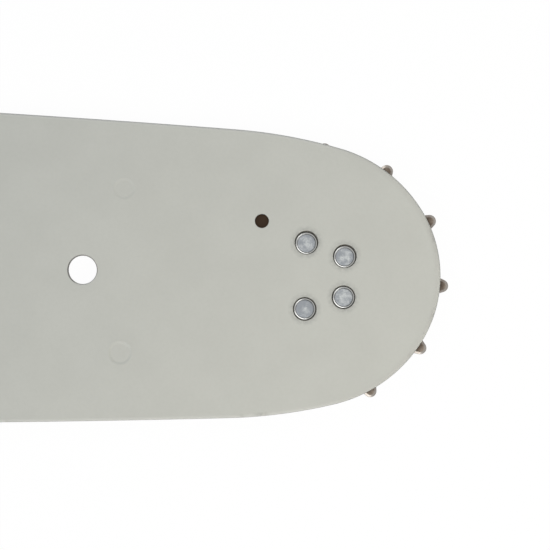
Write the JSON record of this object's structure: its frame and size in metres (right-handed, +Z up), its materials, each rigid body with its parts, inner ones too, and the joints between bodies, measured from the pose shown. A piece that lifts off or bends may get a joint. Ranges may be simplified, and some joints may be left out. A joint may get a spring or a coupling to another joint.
{
  "type": "chainsaw guide bar",
  "caption": "Long flat laminated chainsaw guide bar with a chain groove round its edge, a stud slot in the tail and a toothed sprocket on rollers in its rounded nose.",
  "frame": {"origin": "under the middle of the bar's length, on its axis, on the surface that it lies on", "axes": "+X along the bar to the nose, +Y across the bar, +Z up through its thickness"},
  "size_m": [0.4708, 0.0708, 0.0049],
  "materials": {
    "bar_paint": "semi-matt light grey",
    "core_steel": "bare rolled steel",
    "sprocket_steel": "tempered brown",
    "bearing_steel": "ground",
    "rivet_steel": "zinc plated"
  },
  "bodies": {
    "bar": {"top_side_plate": "bar_paint", "core_plate": "core_steel", "bottom_side_plate": "bar_paint", "bearing_race": "bearing_steel", "nose_rivets": "rivet_steel"},
    "sprocket": {"nose_sprocket": "sprocket_steel"},
    "rollers": {"roller_01": "bearing_steel", "roller_02": "bearing_steel", "roller_03": "bearing_steel", "roller_04": "bearing_steel", "roller_05": "bearing_steel", "roller_06": "bearing_steel", "roller_07": "bearing_steel", "roller_08": "bearing_steel", "roller_09": "bearing_steel", "roller_10": "bearing_steel", "roller_11": "bearing_steel", "roller_12": "bearing_steel", "roller_13": "bearing_steel", "roller_14": "bearing_steel", "roller_15": "bearing_steel", "roller_16": "bearing_steel", "roller_17": "bearing_steel", "roller_18": "bearing_steel", "roller_19": "bearing_steel", "roller_20": "bearing_steel", "roller_21": "bearing_steel"}
  },
  "joints": [
    {"name": "sprocket_spin", "type": "hinge", "parent": "bar", "child": "sprocket", "pos_m": [0.20662, 0, 0.00245], "axis": [0, 0, 1], "continuous": true},
    {"name": "roller_orbit", "type": "hinge", "parent": "bar", "child": "rollers", "pos_m": [0.20662, 0, 0.00245], "axis": [0, 0, 1], "continuous": true}
  ],
  "couplings": [
    {"joint": "roller_orbit", "follows": "sprocket_spin", "ratio": 0.57085}
  ]
}
